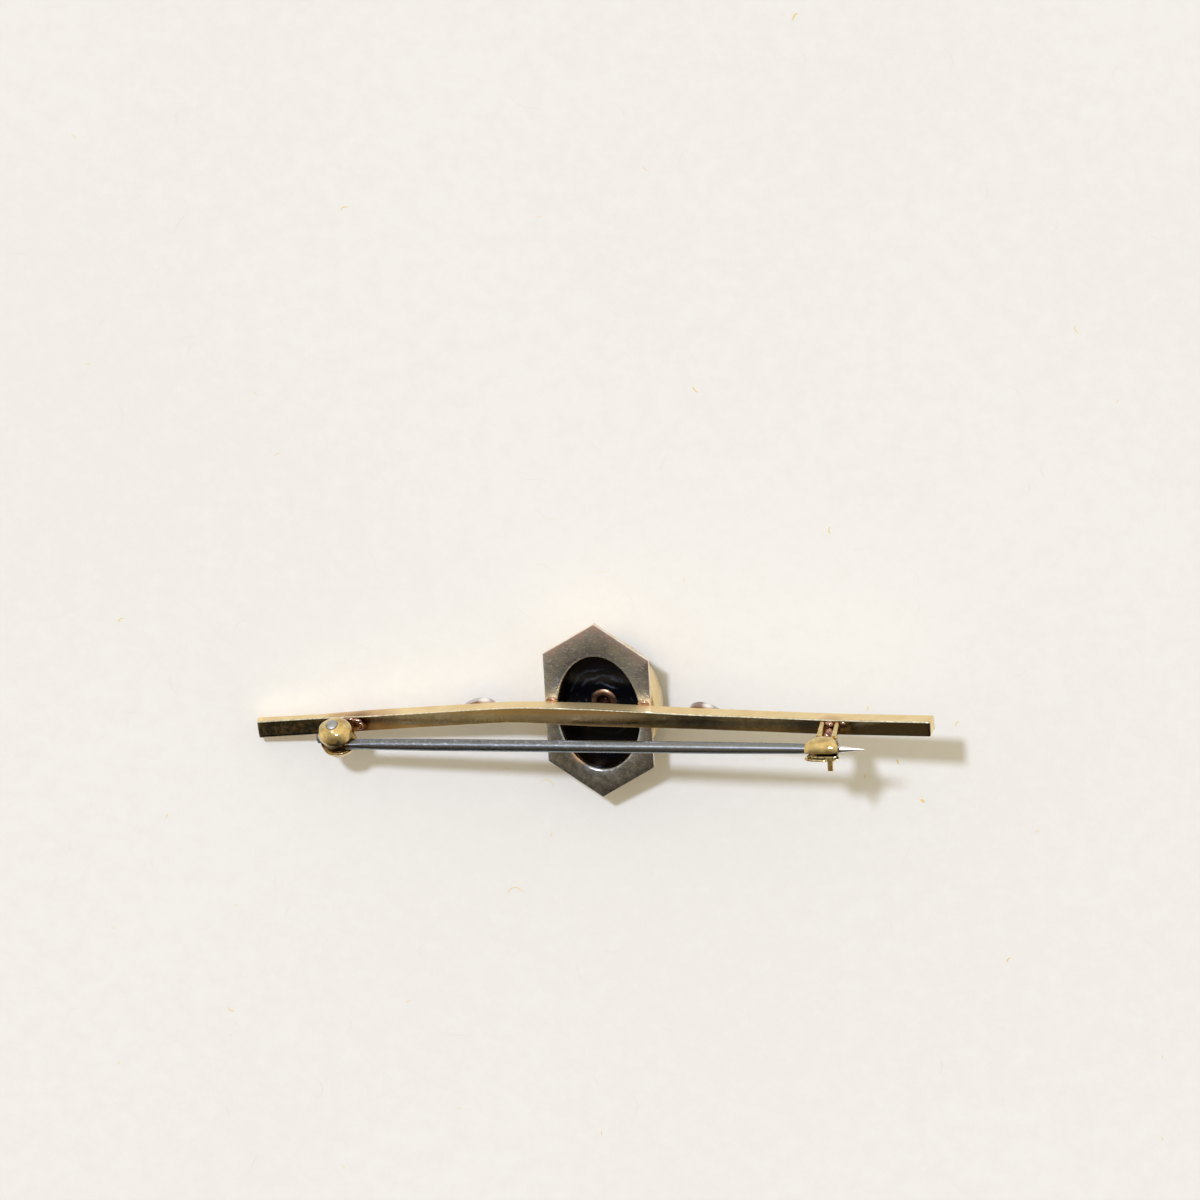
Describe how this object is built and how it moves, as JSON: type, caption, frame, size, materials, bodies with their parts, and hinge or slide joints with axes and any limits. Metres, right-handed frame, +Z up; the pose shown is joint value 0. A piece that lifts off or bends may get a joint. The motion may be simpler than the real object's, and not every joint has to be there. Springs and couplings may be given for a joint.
{
  "type": "bar brooch",
  "caption": "Slim gold bar brooch with a six-sided plaque round a black oval stone, a swinging pin and a rotating safety catch.",
  "frame": {"origin": "on the surface that the brooch lies on, under the middle of its outline seen from above", "axes": "+X along the bar towards the catch, +Y across the bar, +Z up from the surface; the brooch lies on its front, so its back and pin face up"},
  "size_m": [0.0599, 0.0162, 0.0119],
  "materials": {
    "gold": "polished yellow gold, worn",
    "white_gold": "dull white gold with a warm tarnish",
    "onyx": "polished black stone",
    "clear_stone": "cut clear stone",
    "steel": "grey steel wire, drawn"
  },
  "bodies": {
    "brooch": {"frame": "gold", "onyx": "onyx", "centre_collet": "white_gold", "centre_stone": "clear_stone", "left_side_stone": "clear_stone", "right_side_stone": "clear_stone", "hinge_rivet": "white_gold"},
    "pin": {"pin_stem": "steel"},
    "sleeve": {"catch_sleeve": "gold"}
  },
  "joints": [
    {"name": "pin_swing", "type": "hinge", "parent": "brooch", "child": "pin", "pos_m": [-0.02252, -0.00278, 0.00464], "axis": [0.116, -0.8293, -0.5467], "range_deg": [0, 75]},
    {"name": "catch_turn", "type": "hinge", "parent": "brooch", "child": "sleeve", "pos_m": [0.02074, -0.0007, 0.01065], "axis": [0.9906, 0.0566, 0.1243], "range_deg": [0, 70]}
  ]
}
